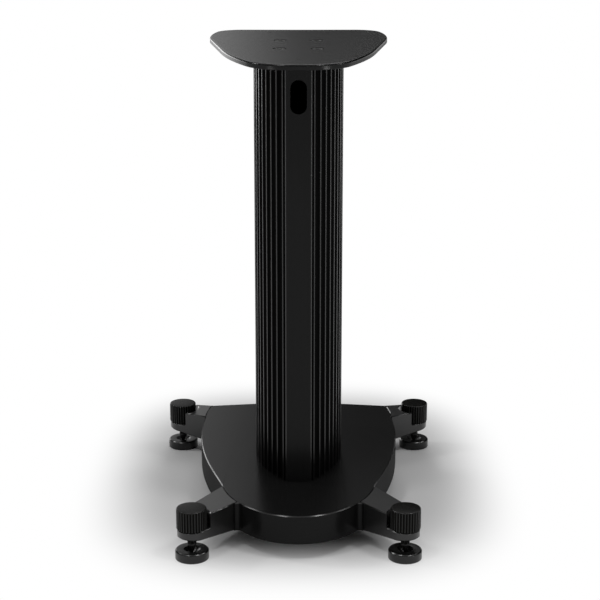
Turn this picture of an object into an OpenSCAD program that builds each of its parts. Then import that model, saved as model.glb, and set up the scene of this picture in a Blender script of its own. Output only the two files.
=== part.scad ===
/* [Top plate] */
// Width of the top plate
plate_w = 243; // [200:1:300]
// Depth of the top plate, front to back
plate_d = 402; // [340:1:460]
// Thickness of the top plate
plate_t = 7; // [6:0.5:12]
// Radius of the rounded upper edge of the top plate
plate_edge_r = 2.4; // [1:0.1:3]
// Height of the small bevel round the underside of the top plate
plate_under_bevel = 0.6; // [0.2:0.1:1.2]
// Diameter of the countersinks round the plate screws
plate_sink_d = 18; // [17:0.5:22]
// Depth of the screw heads below the face of the plate
plate_screw_drop = 0.6; // [0.2:0.1:1]
// Distance of the plate's middle in front of the column's middle
plate_forward = 15; // [0:0.5:30]
// Diameter of the holes for the screws that hold a loudspeaker
speaker_hole_d = 4.2; // [3:0.1:6]
// Distance of the front speaker hole from the plate's front edge
speaker_hole_front = 52; // [30:1:90]
// Distance of the rear speaker holes from the plate's back edge
speaker_hole_back = 41; // [30:1:90]
// Distance between the two rear speaker holes
speaker_hole_span = 81; // [40:1:120]

/* [Column] */
// Width of the column over its ribs
column_w = 119; // [110:0.5:135]
// Depth of the column between its two flat strips
column_d = 227.4; // [215:0.1:240]
// Height of the column
column_h = 562.2; // [300:0.1:800]
// Distance of the column's middle behind the plinth's middle
column_back = 11.75; // [0:0.25:30]
// Width of the flat strips in front and behind
strip_w = 33.1; // [26:0.1:40]
// Width of each flat rib crest
crest_w = 1.6; // [1:0.1:2.5]
// Depth of the flutes between the ribs
flute_depth = 3.6; // [2:0.1:4.5]
// Width of the narrow groove beside each strip
groove_w = 4.2; // [3:0.1:5]
// Width of the flat land on both sides of that groove
groove_land = 1.1; // [0.6:0.1:2]
// Depth of the narrow groove beside each strip
strip_groove_depth = 2.2; // [1:0.1:3]
// Number of flutes from the column's middle to a strip
flute_count = 9; // [8:1:10]
// Wall thickness under the flutes
column_wall = 3.5; // [3:0.1:5]
// Wall thickness behind the flat strips
strip_wall = 4; // [3:0.1:6]
// Thickness of the two webs across the inside
web_t = 4; // [3:0.5:6]
// Diameter of the screw bosses on the webs
boss_d = 17; // [15:0.5:20]
// Distance between the screws across the column
screw_span_x = 48.8; // [44:0.1:56]
// Distance between the screws from front to back
screw_span_y = 96.8; // [86:0.1:104]
// Width of the cable slot in the front strip
slot_w = 21; // [14:0.5:21]
// Height of the cable slot
slot_h = 43; // [30:1:60]
// Distance from the top of the column to the top of the slot
slot_drop = 25; // [12:1:60]

/* [Base] */
// Width of the base plinth
base_w = 282; // [262:1:310]
// Depth of the base plinth, front to back
base_d = 443; // [430:1:470]
// Thickness of the base plinth
base_t = 38.3; // [34:0.1:44]
// Height of the plinth's underside above the floor
base_lift = 22.5; // [21:0.5:30]
// Bevel round the upper edge of the plinth
base_bevel = 1.2; // [0.5:0.1:2]
// Radius of the small fillet between plinth and front arm
root_fillet_r = 6; // [3:0.5:8]
// Width of the cable passage through the plinth
passage_w = 50; // [40:1:54]
// Depth of the cable passage, front to back
passage_d = 26; // [18:1:27]

/* [Arms] */
// Radius of the rounded arm end under the knob
arm_end_r = 18.6; // [18:0.1:19.2]
// Underside of the arm above the floor, at the foot's axis
arm_end_z = 29.2; // [28:0.1:32]
// Top of the ledge under the knob above the floor
ledge_z = 41.5; // [39:0.5:43]
// Radius of the recess round the knob
recess_r = 23.6; // [22:0.1:26]
// Thickness of the tongue that fixes the arm under the plinth
tongue_t = 14; // [12:0.5:16]
// Distance of the front feet inside the plinth's widest part
front_foot_in = 4.5; // [-8:0.5:12]
// Distance of the front feet behind the plinth's front edge
front_foot_back = 9.25; // [0:0.25:24]
// Distance of the back feet outside the plinth's widest part
back_foot_out = 34.5; // [26:0.5:48]
// Distance of the back feet in front of the plinth's back edge
back_foot_front = 23.75; // [18:0.25:38]
// Distance of the front arm's root inside the plinth's widest part
front_root_in = 68; // [64:0.5:72]
// Distance of the front arm's root behind the plinth's front edge
front_root_back = 99.25; // [94:0.25:104]
// Radius of the front arm's round root
front_root_r = 27; // [25:0.5:29]
// Distance of the back arm's root inside the plinth's widest part
back_root_in = 36.5; // [34:0.5:40]
// Distance of the back arm's root in front of the plinth's back edge
back_root_front = 47.75; // [44:0.25:50]
// Radius of the back arm's round root
back_root_r = 29.5; // [27:0.5:31]
// Distance from the front foot's axis to the bend in the arm's underside
front_bend_l = 61; // [50:1:66]
// Distance from the back foot's axis to the bend in the arm's underside
back_bend_l = 46; // [40:1:50]
// Distance from the end of the tongue to its nearest screw
tongue_screw_in = 16.3; // [15:0.1:18]
// Distance between the tongue's two screws
tongue_screw_span = 26.5; // [24:0.5:28]

/* [Feet] */
// Diameter of the fluted knobs
knob_d = 39; // [34:0.5:41]
// Height of the knobs
knob_h = 27.4; // [22:0.1:32]
// Number of flutes round a knob
knob_flutes = 32; // [24:1:36]
// Thickness of the knob above the end of its spike
knob_cap_t = 5; // [3:0.5:8]
// Depth of a knob's flutes
knob_flute_depth = 0.7; // [0.4:0.1:1]
// Bevel round the top of a knob
knob_bevel = 0.8; // [0.4:0.1:1.5]
// Thread diameter of the spikes
spike_d = 12; // [10:0.5:12]
// Height of the spike's point above the floor
spike_tip_z = 6.4; // [5:0.1:8]
// Height of the spike's cone
spike_cone_h = 13; // [11:0.5:18]
// Diameter of the blunted spike tip
spike_tip_d = 1.6; // [1:0.1:2]
// Diameter of the threaded bushes in the arm ends
bush_d = 18; // [16:0.5:20]
// Diameter of the floor discs
disc_d = 43.5; // [38:0.5:46]
// Height of the floor discs above the floor
disc_h = 12.8; // [10:0.1:15]
// Bevel round the top of a floor disc
disc_bevel = 1.5; // [0.5:0.1:2]
// Diameter of the conical cup in a floor disc
cup_d = 20.3; // [16:0.1:24]
// Diameter of the soft pad under a floor disc
pad_d = 36; // [28:0.5:38]
// Thickness of the soft pad
pad_t = 1.5; // [1:0.1:2.5]
// Height by which the pad stands out of its disc
pad_proud = 0.3; // [0.2:0.1:0.8]

/* [Fasteners] */
// Thread diameter of the column, plate and arm screws
screw_d = 8; // [7:0.5:8]
// Length of screw thread held by its part
grip_l = 18; // [14:1:20]
// Length of the tongue screws above their heads
tongue_screw_l = 21; // [18:1:22]
// Head diameter of the socket head screws
cap_d = 13; // [12:0.5:14]
// Head height of the socket head screws
cap_h = 8; // [7:0.5:8.5]
// Head diameter of the countersunk plate screws
sunk_d = 16; // [14:0.5:16.5]
// Width across the flats of the hexagon sockets
hex_af = 6; // [4:0.5:6]

/* [Clearances] */
// Joint gap between plinth and arms
joint_gap = 0.3; // [0.1:0.1:0.5]
// Radial gap round a screw in its threaded hole
thread_gap = 0.1; // [0.05:0.05:0.2]
// Radial gap round a screw in its clearance hole
hole_gap = 0.5; // [0.2:0.1:1]
// Radial running gap between spike and bush
running_gap = 0.05; // [0.02:0.01:0.1]
// Gap between a knob and its ledge
ledge_gap = 0.3; // [0.2:0.1:0.6]
// Gap round the soft pad in its seat
pad_gap = 0.2; // [0.1:0.1:0.5]

/* [Hidden] */
$fn = 64;
flank_fn = 360;
// Overrun that all cuts share
cut = 1;
// Largest distance between an outline's arcs and their chords
chord_tol = 0.1;

// Corners of the plate's right half, back to front: across, along and radius as shares of the depth
plate_corner_shares = [[0, 0.996, 3.8], [0.2738, 1.0016, 0.0918], [0.311, 0.797, 0.628],
    [0.2216, 0.254, 1.36], [0.1188, -0.0015, 0.156], [0, 0, 0.499]];
// Corners of the plinth's right half, in the same order
base_corner_shares = [[0, 1.013, 1.23], [0.2984, 0.9694, 0.0224], [0.3488, 0.656, 1.34],
    [0.1932, 0.1125, 0.311], [0, -0.0683, 0.185]];

// Middle of the plinth, placed so that the discs in front and the plinth behind reach equally far
base_y = (disc_d / 2 - front_foot_back) / 2;
column_y = base_y + column_back;
plate_y = column_y - plate_forward;
base_front = base_y - base_d / 2;
base_back = base_y + base_d / 2;
front_foot = [base_w / 2 - front_foot_in, base_front + front_foot_back];
back_foot = [base_w / 2 + back_foot_out, base_back - back_foot_front];
front_root = [base_w / 2 - front_root_in, base_front + front_root_back];
back_root = [base_w / 2 - back_root_in, base_back - back_root_front];

// Radius of the column's flanks on the crests, through the column's side and the strip's edge
flank_rise = (column_w - strip_w) / 2;
flank_r = (flank_rise * flank_rise + column_d * column_d / 4) / (2 * flank_rise);
strip_angle = asin(column_d / 2 / flank_r);
// Distance from crest to crest along the flank
rib_pitch = (flank_r * strip_angle * PI / 180 - groove_w - 2 * groove_land) / flute_count;

base_top = base_lift + base_t;
column_top = base_top + column_h;
plate_top = column_top + plate_t;
head_seat_z = base_lift + cap_h + cut;

// Share of a screw head that its hexagon socket is deep
socket_share = 0.5;
// Share of the plinth's bevel that is left at the joints with the arms
joint_bevel_share = 0.08;
// Share of an outline's step that stays free on both sides of a joint
joint_step_share = 0.04;

function lerp(a, b, t) = a + (b - a) * t;
function unit(v) = v / norm(v);
function polar(r, a) = [r * cos(a), r * sin(a)];
function bearing(v) = atan2(v[1], v[0]);
function xs(pts) = [for (p = pts) p[0]];
function ys(pts) = [for (p = pts) p[1]];
// Slot outline of width w and height h with round ends
function obround(w, h) = let (steps = $fn / 2)
    [for (s = [0, 1], k = [0 : steps]) polar(w / 2, 180 * (k / steps + s)) + [0, (h - w) * (0.5 - s)]];
function turn(a) = a > 180 ? a - 360 : a < -180 ? a + 360 : a;

// One rounded corner: p is the corner, a and b are its neighbours, r is its radius
function corner_arc(a, p, b, r) =
    let (u = unit(a - p), v = unit(b - p), half = acos(u * v) / 2,
         mid = p + unit(u + v) * r / sin(half),
         from = bearing(p + u * r / tan(half) - mid),
         sweep = turn(bearing(p + v * r / tan(half) - mid) - from),
         steps = ceil(abs(sweep) / (2 * acos(1 - chord_tol / r))))
    [for (k = [0 : steps]) mid + polar(r, from + sweep * k / steps)];

// Closed outline from the corners of one half, mirrored about the Y axis
function mirrored(half) = concat(half,
    [for (i = [len(half) - 2 : -1 : 1]) [-half[i][0], half[i][1], half[i][2]]]);
function rounded(c) = let (n = len(c)) [for (i = [0 : n - 1])
    each corner_arc([c[(i + n - 1) % n][0], c[(i + n - 1) % n][1]], [c[i][0], c[i][1]],
                    [c[(i + 1) % n][0], c[(i + 1) % n][1]], c[i][2])];

// Outline of the given shares, fitted to width w and depth d about the line y = mid_y
function slab_outline(shares, w, d, mid_y) =
    let (raw = rounded(mirrored(shares * d)),
         wide = max(xs(raw)), low = min(ys(raw)), deep = max(ys(raw)) - low)
    [for (p = raw) [p[0] * w / 2 / wide, (p[1] - low) * d / deep - d / 2 + mid_y]];

// The outline moved inwards by d, which is one distance or a list with one for each point
function inset(pts, d) = let (n = len(pts)) [for (i = [0 : n - 1])
    let (u = unit(pts[i] - pts[(i + n - 1) % n]), v = unit(pts[(i + 1) % n] - pts[i]), m = unit(u + v))
    pts[i] + [m[1], -m[0]] * level(d, i) / (m * u)];
function level(d, i) = is_list(d) ? d[i] : d;

plate_outline = slab_outline(plate_corner_shares, plate_w, plate_d, plate_y);
base_outline = with_arm_sides(slab_outline(base_corner_shares, base_w, base_d, base_y));
// Bevel of the plinth's upper edge at each point of its outline: almost none where an arm joins it
base_bevels = [for (p = base_outline) in_arm(p) ? base_bevel * joint_bevel_share : base_bevel];

// Solid between rings of points that run clockwise from above, each ring [points, height]
module lofted(rings) {
    n = len(rings[0][0]);
    m = len(rings);
    polyhedron(
        points = [for (ring = rings, i = [0 : n - 1]) [ring[0][i][0], ring[0][i][1], level(ring[1], i)]],
        faces = concat(
            [[for (i = [n - 1 : -1 : 0]) i]],
            [[for (i = [0 : n - 1]) (m - 1) * n + i]],
            [for (k = [0 : m - 2], i = [0 : n - 1]) [k * n + (i + 1) % n, (k + 1) * n + i, k * n + i]],
            [for (k = [0 : m - 2], i = [0 : n - 1])
                [(k + 1) * n + (i + 1) % n, (k + 1) * n + i, k * n + (i + 1) % n]]));
}

// Four places, mirrored left to right and front to back about the column's middle
module at_screws() {
    for (x = [-1, 1], y = [-1, 1])
        translate([x * screw_span_x / 2, column_y + y * screw_span_y / 2, 0]) children();
}

// Puts a right-hand piece on the left when side is -1
module on_side(side) {
    mirror([side < 0 ? 1 : 0, 0, 0]) children();
}

function foot_at(front) = front ? front_foot : back_foot;
function root_at(front) = front ? front_root : back_root;
function root_r(front) = front ? front_root_r : back_root_r;
function arm_angle(front) = bearing(root_at(front) - foot_at(front));
function arm_l(front) = norm(root_at(front) - foot_at(front));
function arm_taper(front) = asin((root_r(front) - arm_end_r) / arm_l(front));

// The two straight sides of an arm: directions at right angles to them, and distances from them
function arm_sides(front) = [for (s = [1, -1]) polar(1, arm_angle(front) + s * (90 + arm_taper(front)))];
function beside(front, n, p) = ([abs(p[0]), p[1]] - foot_at(front)) * n - arm_end_r;
function near_arm(front, p) = norm([abs(p[0]), p[1]] - foot_at(front)) < arm_l(front);
function in_arm(p) = [for (front = [true, false], n = [arm_sides(front)])
    if (near_arm(front, p) && beside(front, n[0], p) < 0 && beside(front, n[1], p) < 0) front] != [];

// The outline with two more points close together wherever a side of an arm crosses it
function with_arm_sides(pts) = let (n = len(pts)) [for (i = [0 : n - 1])
    let (q = pts[i], w = pts[(i + 1) % n]) each concat([q], crossings(q, w))];
function crossings(q, w) = [for (front = [true, false], n = arm_sides(front))
    let (s = beside(front, n, q), e = beside(front, n, w), t = s / (s - e))
    if (s * e < 0 && near_arm(front, lerp(q, w, t)))
        each [for (k = [-1, 1]) lerp(q, w, within_step(t + k * base_bevel / norm(w - q)))]];
function within_step(t) = min(1 - joint_step_share, max(joint_step_share, t));

// Plan of an arm: a bar that widens from the foot's circle to the root's circle
module arm_plan(front, grow = 0) {
    foot = foot_at(front);
    root = root_at(front);
    a = arm_angle(front);
    g = 90 + arm_taper(front);
    translate(foot) circle(arm_end_r + grow);
    translate(root) circle(root_r(front) + grow);
    polygon([foot + polar(arm_end_r + grow, a + g), root + polar(root_r(front) + grow, a + g),
             root + polar(root_r(front) + grow, a - g), foot + polar(arm_end_r + grow, a - g)]);
}

// The places of the tongue's two screws, counted from the tongue's round end
module tongue_screws(front) {
    last = arm_l(front) + root_r(front) - tongue_screw_in;
    for (l = [last - tongue_screw_span, last])
        translate(foot_at(front) + polar(l, arm_angle(front))) children();
}

// Socket head screw with its head below, its seat at z = 0 and a shank of length l
module cap_screw(l) {
    difference() {
        union() {
            translate([0, 0, -cap_h]) cylinder(d = cap_d, h = cap_h);
            cylinder(d = screw_d, h = l);
        }
        translate([0, 0, -cap_h - cut])
            cylinder(r = hex_af / sqrt(3), h = cap_h * socket_share + cut, $fn = 6);
    }
}

// The plate that carries the loudspeaker
module top_plate() {
    steps = 3;
    color([0.13, 0.13, 0.13]) difference() {
        lofted(concat(
            [[inset(plate_outline, plate_under_bevel), column_top],
             [plate_outline, column_top + plate_under_bevel]],
            [for (k = [0 : steps]) [inset(plate_outline, plate_edge_r * (1 - cos(90 * k / steps))),
                                    plate_top - plate_edge_r * (1 - sin(90 * k / steps))]]));
        at_screws() {
            translate([0, 0, column_top - cut]) cylinder(r = screw_d / 2 + hole_gap, h = plate_t + 2 * cut);
            translate([0, 0, plate_top - plate_sink_d / 2])
                cylinder(r1 = 0, r2 = plate_sink_d / 2 + cut, h = plate_sink_d / 2 + cut);
        }
        for (p = speaker_holes()) translate([p[0], p[1], column_top - cut])
            cylinder(d = speaker_hole_d, h = plate_t + 2 * cut);
    }
}

function speaker_holes() = [[0, plate_y - plate_d / 2 + speaker_hole_front],
    [-speaker_hole_span / 2, plate_y + plate_d / 2 - speaker_hole_back],
    [speaker_hole_span / 2, plate_y + plate_d / 2 - speaker_hole_back]];

// Countersunk screws that hold the plate on the column
module plate_screws() {
    head_z = plate_top - plate_screw_drop;
    color([0.2, 0.2, 0.2]) at_screws() difference() {
        union() {
            translate([0, 0, head_z - sunk_d / 2 + screw_d / 2])
                cylinder(r1 = screw_d / 2, r2 = sunk_d / 2, h = sunk_d / 2 - screw_d / 2);
            translate([0, 0, column_top - grip_l])
                cylinder(d = screw_d, h = head_z - sunk_d / 2 + screw_d / 2 - column_top + grip_l);
        }
        translate([0, 0, head_z - (sunk_d - screw_d) * socket_share])
            cylinder(r = hex_af / sqrt(3), h = sunk_d, $fn = 6);
    }
}

// Two arcs that meet in front and behind, cut off at depth d; shrink moves them inwards
module flanks(shrink, d) {
    r = flank_r - shrink;
    intersection() {
        translate([column_w / 2 - flank_r, 0]) circle(r, $fn = flank_fn);
        translate([flank_r - column_w / 2, 0]) circle(r, $fn = flank_fn);
        square([2 * flank_r, d], center = true);
    }
}

// A round cutter that leaves a flute of the given width and depth at an angle on one flank
module flute(angle, width, depth) {
    r = (width * width / 4 + depth * depth) / (2 * depth);
    translate([column_w / 2 - flank_r, 0] + polar(flank_r + r - depth, angle)) circle(r);
}

// Section of the column's outer surface: fluted flanks between two flat strips
module fluted_section() {
    step = rib_pitch / flank_r * 180 / PI;
    last_crest = flute_count * step;
    difference() {
        flanks(0, column_d);
        for (m = [0, 1]) mirror([m, 0]) {
            for (k = [-flute_count : flute_count - 1])
                flute((k + 0.5) * step, rib_pitch - crest_w, flute_depth);
            for (s = [-1, 1])
                flute(s * (last_crest + strip_angle) / 2, groove_w, strip_groove_depth);
        }
    }
}

// Section of the hollow inside: three chambers between two webs, round four screw bosses
module chamber_section() {
    difference() {
        flanks(flute_depth + column_wall, column_d - 2 * strip_wall);
        for (y = [-1, 1]) translate([0, y * screw_span_y / 2]) square([column_w, web_t], center = true);
        for (x = [-1, 1], y = [-1, 1])
            translate([x * screw_span_x / 2, y * screw_span_y / 2]) circle(d = boss_d);
    }
}

// The extruded column, with its cable slot near the top of the front strip
module column() {
    slot_z = column_top - slot_drop - slot_h / 2;
    color([0.06, 0.06, 0.06]) difference() {
        translate([0, column_y, base_top]) linear_extrude(column_h) difference() {
            fluted_section();
            chamber_section();
            for (x = [-1, 1], y = [-1, 1]) translate([x * screw_span_x / 2, y * screw_span_y / 2])
                circle(r = screw_d / 2 + thread_gap);
        }
        translate([0, column_y - column_d / 2 + strip_wall + cut, slot_z]) rotate([90, 0, 0])
            linear_extrude(strip_wall + 2 * cut) polygon(obround(slot_w, slot_h));
    }
}

// Where the front side of the front arm meets the plinth's outline, with the outline's direction
function root_corner() = let (side = arm_sides(true)[0], n = len(base_outline))
    [for (i = [0 : n - 1])
        let (q = base_outline[i], w = base_outline[(i + 1) % n],
             s = beside(true, side, q), e = beside(true, side, w))
        if (s * e < 0 && q[0] > 0 && near_arm(true, q)) [lerp(q, w, s / (s - e)), unit(w - q)]][0];

// Small concave fillet that leads from the plinth's nose towards the arm's front side
module root_fillet() {
    side = arm_sides(true)[0];
    u = [-side[1], side[0]];
    v = root_corner()[1];
    c = root_corner()[0] + v * joint_gap / (v * side);
    arc = corner_arc(c + u, c, c + v, root_fillet_r);
    inner = [v[1], -v[0]] * root_fillet_r;
    polygon(concat(arc, [arc[len(arc) - 1] + inner, c + inner, c]));
}

// The thick plinth under the column
module base_plinth() {
    passage_y = column_y - screw_span_y / 2 - boss_d / 2 - (passage_d + web_t) / 2;
    color([0.12, 0.12, 0.12]) difference() {
        union() {
            lofted([[base_outline, base_lift],
                    [base_outline, [for (b = base_bevels) base_top - b]],
                    [inset(base_outline, base_bevels), base_top]]);
            for (side = [-1, 1]) on_side(side)
                translate([0, 0, base_lift]) linear_extrude(base_t) root_fillet();
        }
        for (side = [-1, 1], front = [true, false]) on_side(side) {
            translate([0, 0, base_lift - cut]) linear_extrude(tongue_t + cut) arm_plan(front, joint_gap);
            tongue_screws(front) translate([0, 0, base_lift])
                cylinder(r = screw_d / 2 + thread_gap, h = head_seat_z - base_lift + tongue_screw_l + cut);
        }
        at_screws() {
            translate([0, 0, base_lift - cut]) cylinder(r = cap_d / 2 + hole_gap, h = cap_h + 2 * cut);
            translate([0, 0, base_lift]) cylinder(r = screw_d / 2 + hole_gap, h = base_t + cut);
        }
        translate([0, passage_y, base_lift - cut]) rotate([0, 0, 90])
            linear_extrude(base_t + 2 * cut) polygon(obround(passage_d, passage_w));
    }
}

// Screws from under the plinth into the column's bosses
module column_bolts() {
    color([0.3, 0.3, 0.3]) at_screws() translate([0, 0, head_seat_z])
        cap_screw(base_top + grip_l - head_seat_z);
}

// An arm of the right-hand side: bar, ledge, knob recess, rising underside and tongue
module arm(front) {
    bend = front ? front_bend_l : back_bend_l;
    slope = atan((arm_end_z - base_lift) / bend);
    reach = arm_l(front) + root_r(front);
    color([0.16, 0.16, 0.16]) difference() {
        union() {
            translate([0, 0, base_lift]) linear_extrude(base_t) difference() {
                arm_plan(front);
                polygon(inset(base_outline, -joint_gap));
            }
            translate([0, 0, base_lift]) linear_extrude(tongue_t) arm_plan(front);
        }
        translate(concat(foot_at(front), ledge_z)) cylinder(r = recess_r, h = base_top - ledge_z + cut);
        translate(concat(foot_at(front), base_lift - cut)) cylinder(d = bush_d, h = ledge_z);
        translate(concat(foot_at(front), base_lift)) rotate([0, 0, arm_angle(front)])
            translate([bend, 0, 0]) rotate([0, slope, 0])
                translate([-reach, -reach / 2, -base_t]) cube([reach, reach, base_t]);
        tongue_screws(front) {
            translate([0, 0, base_lift - cut]) cylinder(r = cap_d / 2 + hole_gap, h = cap_h + 2 * cut);
            translate([0, 0, base_lift]) cylinder(r = screw_d / 2 + hole_gap, h = base_t);
        }
    }
}

module arm_front_left() { on_side(-1) arm(true); }
module arm_front_right() { on_side(1) arm(true); }
module arm_back_left() { on_side(-1) arm(false); }
module arm_back_right() { on_side(1) arm(false); }

// Screws through the tongues up into the plinth
module arm_bolts() {
    color([0.3, 0.3, 0.3]) for (side = [-1, 1], front = [true, false]) on_side(side)
        tongue_screws(front) translate([0, 0, head_seat_z]) cap_screw(tongue_screw_l);
}

// Threaded bushes pressed into the arm ends
module foot_bushes() {
    bush_z = arm_end_z + bush_d / 2 * (arm_end_z - base_lift) / back_bend_l;
    color([0.5, 0.5, 0.48]) for (side = [-1, 1], front = [true, false]) on_side(side)
        translate(concat(foot_at(front), bush_z)) difference() {
            cylinder(d = bush_d, h = ledge_z - bush_z);
            translate([0, 0, -cut]) cylinder(r = spike_d / 2 + running_gap, h = ledge_z);
        }
}

// Threaded spike with its cone below, held by the knob above
module spike() {
    cone_top = spike_tip_z + spike_cone_h;
    top = ledge_z + ledge_gap + knob_h - knob_cap_t;
    color([0.25, 0.25, 0.25]) rotate_extrude() polygon([[0, spike_tip_z], [spike_tip_d / 2, spike_tip_z],
        [spike_d / 2, cone_top], [spike_d / 2, top], [0, top]]);
}

// Fluted hand knob on top of the spike
module knob() {
    r = knob_d / 2;
    flute_r = knob_flute_depth * 2;
    bore_h = knob_h - knob_cap_t;
    color([0.1, 0.1, 0.09]) translate([0, 0, ledge_z + ledge_gap]) difference() {
        rotate_extrude() polygon([[0, 0], [r - knob_bevel / 2, 0], [r, knob_bevel / 2],
            [r, knob_h - knob_bevel], [r - knob_bevel, knob_h], [0, knob_h]]);
        for (i = [0 : knob_flutes - 1]) rotate([0, 0, 360 * i / knob_flutes])
            translate([r + flute_r - knob_flute_depth, 0, -cut]) cylinder(r = flute_r, h = knob_h + 2 * cut);
        translate([0, 0, -cut]) cylinder(d = spike_d, h = bore_h + cut);
    }
}

// Floor disc with a conical cup for the spike's point and a seat for its pad
module disc() {
    r = disc_d / 2;
    color([0.07, 0.07, 0.07]) difference() {
        rotate_extrude() polygon([[0, pad_proud], [r - disc_bevel / 2, pad_proud],
            [r, pad_proud + disc_bevel / 2], [r, disc_h - disc_bevel], [r - disc_bevel, disc_h],
            [cup_d / 2, disc_h], [spike_tip_d / 2, spike_tip_z - ledge_gap], [0, spike_tip_z - ledge_gap]]);
        translate([0, 0, pad_proud - cut]) cylinder(r = pad_d / 2 + pad_gap, h = pad_t - pad_proud + cut);
    }
}

// Soft pad under a floor disc
module pad() {
    color([0.2, 0.2, 0.2]) cylinder(d = pad_d, h = pad_t);
}

// Puts a foot's piece under its arm
module at_foot(side, front) {
    on_side(side) translate(foot_at(front)) children();
}

top_plate();
plate_screws();
column();
base_plinth();
column_bolts();
arm_front_left();
arm_front_right();
arm_back_left();
arm_back_right();
arm_bolts();
foot_bushes();
at_foot(-1, true) spike();  // spike_front_left
at_foot(1, true) spike();  // spike_front_right
at_foot(-1, false) spike();  // spike_back_left
at_foot(1, false) spike();  // spike_back_right
at_foot(-1, true) knob();  // knob_front_left
at_foot(1, true) knob();  // knob_front_right
at_foot(-1, false) knob();  // knob_back_left
at_foot(1, false) knob();  // knob_back_right
at_foot(-1, true) disc();  // disc_front_left
at_foot(1, true) disc();  // disc_front_right
at_foot(-1, false) disc();  // disc_back_left
at_foot(1, false) disc();  // disc_back_right
at_foot(-1, true) pad();  // pad_front_left
at_foot(1, true) pad();  // pad_front_right
at_foot(-1, false) pad();  // pad_back_left
at_foot(1, false) pad();  // pad_back_right
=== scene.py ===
import math

import bmesh
import bpy
import numpy as np
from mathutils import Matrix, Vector
from mathutils.geometry import tessellate_polygon
from bpy.props import FloatProperty, FloatVectorProperty, IntProperty, PointerProperty


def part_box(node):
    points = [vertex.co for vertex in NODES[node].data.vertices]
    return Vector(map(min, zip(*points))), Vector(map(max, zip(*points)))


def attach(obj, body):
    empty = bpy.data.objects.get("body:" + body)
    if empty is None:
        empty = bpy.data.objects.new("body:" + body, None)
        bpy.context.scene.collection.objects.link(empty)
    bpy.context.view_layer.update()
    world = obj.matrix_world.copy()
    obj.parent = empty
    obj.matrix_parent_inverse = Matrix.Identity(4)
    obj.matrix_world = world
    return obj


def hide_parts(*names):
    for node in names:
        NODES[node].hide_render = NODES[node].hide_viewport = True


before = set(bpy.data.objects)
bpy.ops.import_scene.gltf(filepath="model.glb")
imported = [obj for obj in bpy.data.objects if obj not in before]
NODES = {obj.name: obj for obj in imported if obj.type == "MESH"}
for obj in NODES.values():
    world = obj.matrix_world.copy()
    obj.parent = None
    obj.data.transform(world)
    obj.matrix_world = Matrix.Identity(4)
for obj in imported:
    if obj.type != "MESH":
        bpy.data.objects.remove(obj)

bl_info = {
    "name": "Loudspeaker Stand Dressing",
    "version": (1, 0, 0),
    "blender": (4, 5, 0),
    "location": "3D View > Sidebar > Stand",
    "description": "Gives the packed loudspeaker stand its fine shapes, finishes and studio",
    "category": "Object",
}

FEET = ("front_left", "front_right", "back_left", "back_right")
ARMS = tuple("arm_" + f for f in FEET)
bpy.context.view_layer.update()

# Corners closer than this are merged in a copy of a CAD node, and flatter joints are dissolved
MERGE, FLAT_ANGLE = 2e-6, math.radians(0.4)
# Widths of the bevels on the screws and on the pads
SCREW_BEVEL, PAD_BEVEL = 0.0003, 0.0002
# Sides of the round holes in the plate, and points of each arc in its outline and its edge
HOLE_SIDES, ARC_POINTS, EDGE_POINTS = 64, 40, 11


# ---------------------------------------------------------------- meshes

def mesh_object(name, points, faces, uv=None):
    """A mesh from points (n x 3) and lists of corner numbers; uv gives each point its place on
    the surface."""
    mesh = bpy.data.meshes.new(name)
    mesh.from_pydata(points.tolist(), [], faces)
    if uv is not None:
        layer = mesh.uv_layers.new(name="surface")
        corner = np.empty(len(mesh.loops), dtype=np.int32)
        mesh.loops.foreach_get("vertex_index", corner)
        layer.data.foreach_set("uv", uv[corner].astype(np.float32).ravel())
    mesh.validate()
    obj = bpy.data.objects.new(name, mesh)
    bpy.context.scene.collection.objects.link(obj)
    return obj


def grid_faces(rows, cols):
    """Quads of a grid of rows x cols points whose columns close into a ring."""
    r, c = np.meshgrid(np.arange(rows - 1), np.arange(cols), indexing="ij")
    a = r * cols + c
    b = r * cols + (c + 1) % cols
    return np.stack([a, b, b + cols, a + cols], axis=-1).reshape(-1, 4).tolist()


def turned(name, profile, centre, count, shape=None):
    """A turned solid about an upright axis. The profile runs up from the bottom of the axis to
    the top of the axis as (radius, height); shape(angle, height, radius) may change the radius,
    as flutes and threads do."""
    r, z = np.array(profile[1:-1], dtype=float).T
    angle = np.arange(count) * 2 * math.pi / count
    A, Z = np.meshgrid(angle, z)
    R = np.repeat(r[:, None], count, axis=1)
    if shape is not None:
        R = shape(A, Z, R)
    x, y = R * np.cos(A) + centre[0], R * np.sin(A) + centre[1]
    ring = np.stack([x, y, Z], axis=-1).reshape(-1, 3)
    ends = np.array([[*centre, profile[0][1]], [*centre, profile[-1][1]]])
    points = np.vstack([ring, ends])
    faces = grid_faces(len(r), count)
    low, high, top = len(ring), len(ring) + 1, (len(r) - 1) * count
    k = np.arange(count)
    faces += np.stack([(k + 1) % count, k, np.full(count, low)], axis=-1).tolist()
    faces += np.stack([top + k, top + (k + 1) % count, np.full(count, high)], axis=-1).tolist()
    steps = np.concatenate([[0], np.cumsum(np.hypot(np.diff(r), np.diff(z)))])
    along = np.repeat((steps + r[0])[:, None], count, axis=1)
    uv = np.vstack([np.stack([A / (2 * math.pi), along], axis=-1).reshape(-1, 2),
                    [[0.5, 0.0], [0.5, steps[-1] + r[0] + r[-1]]]])
    return mesh_object(name, points, faces, uv)


def unit(v):
    """The vectors, each divided by its length."""
    return v / np.linalg.norm(v, axis=-1, keepdims=True)


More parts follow.
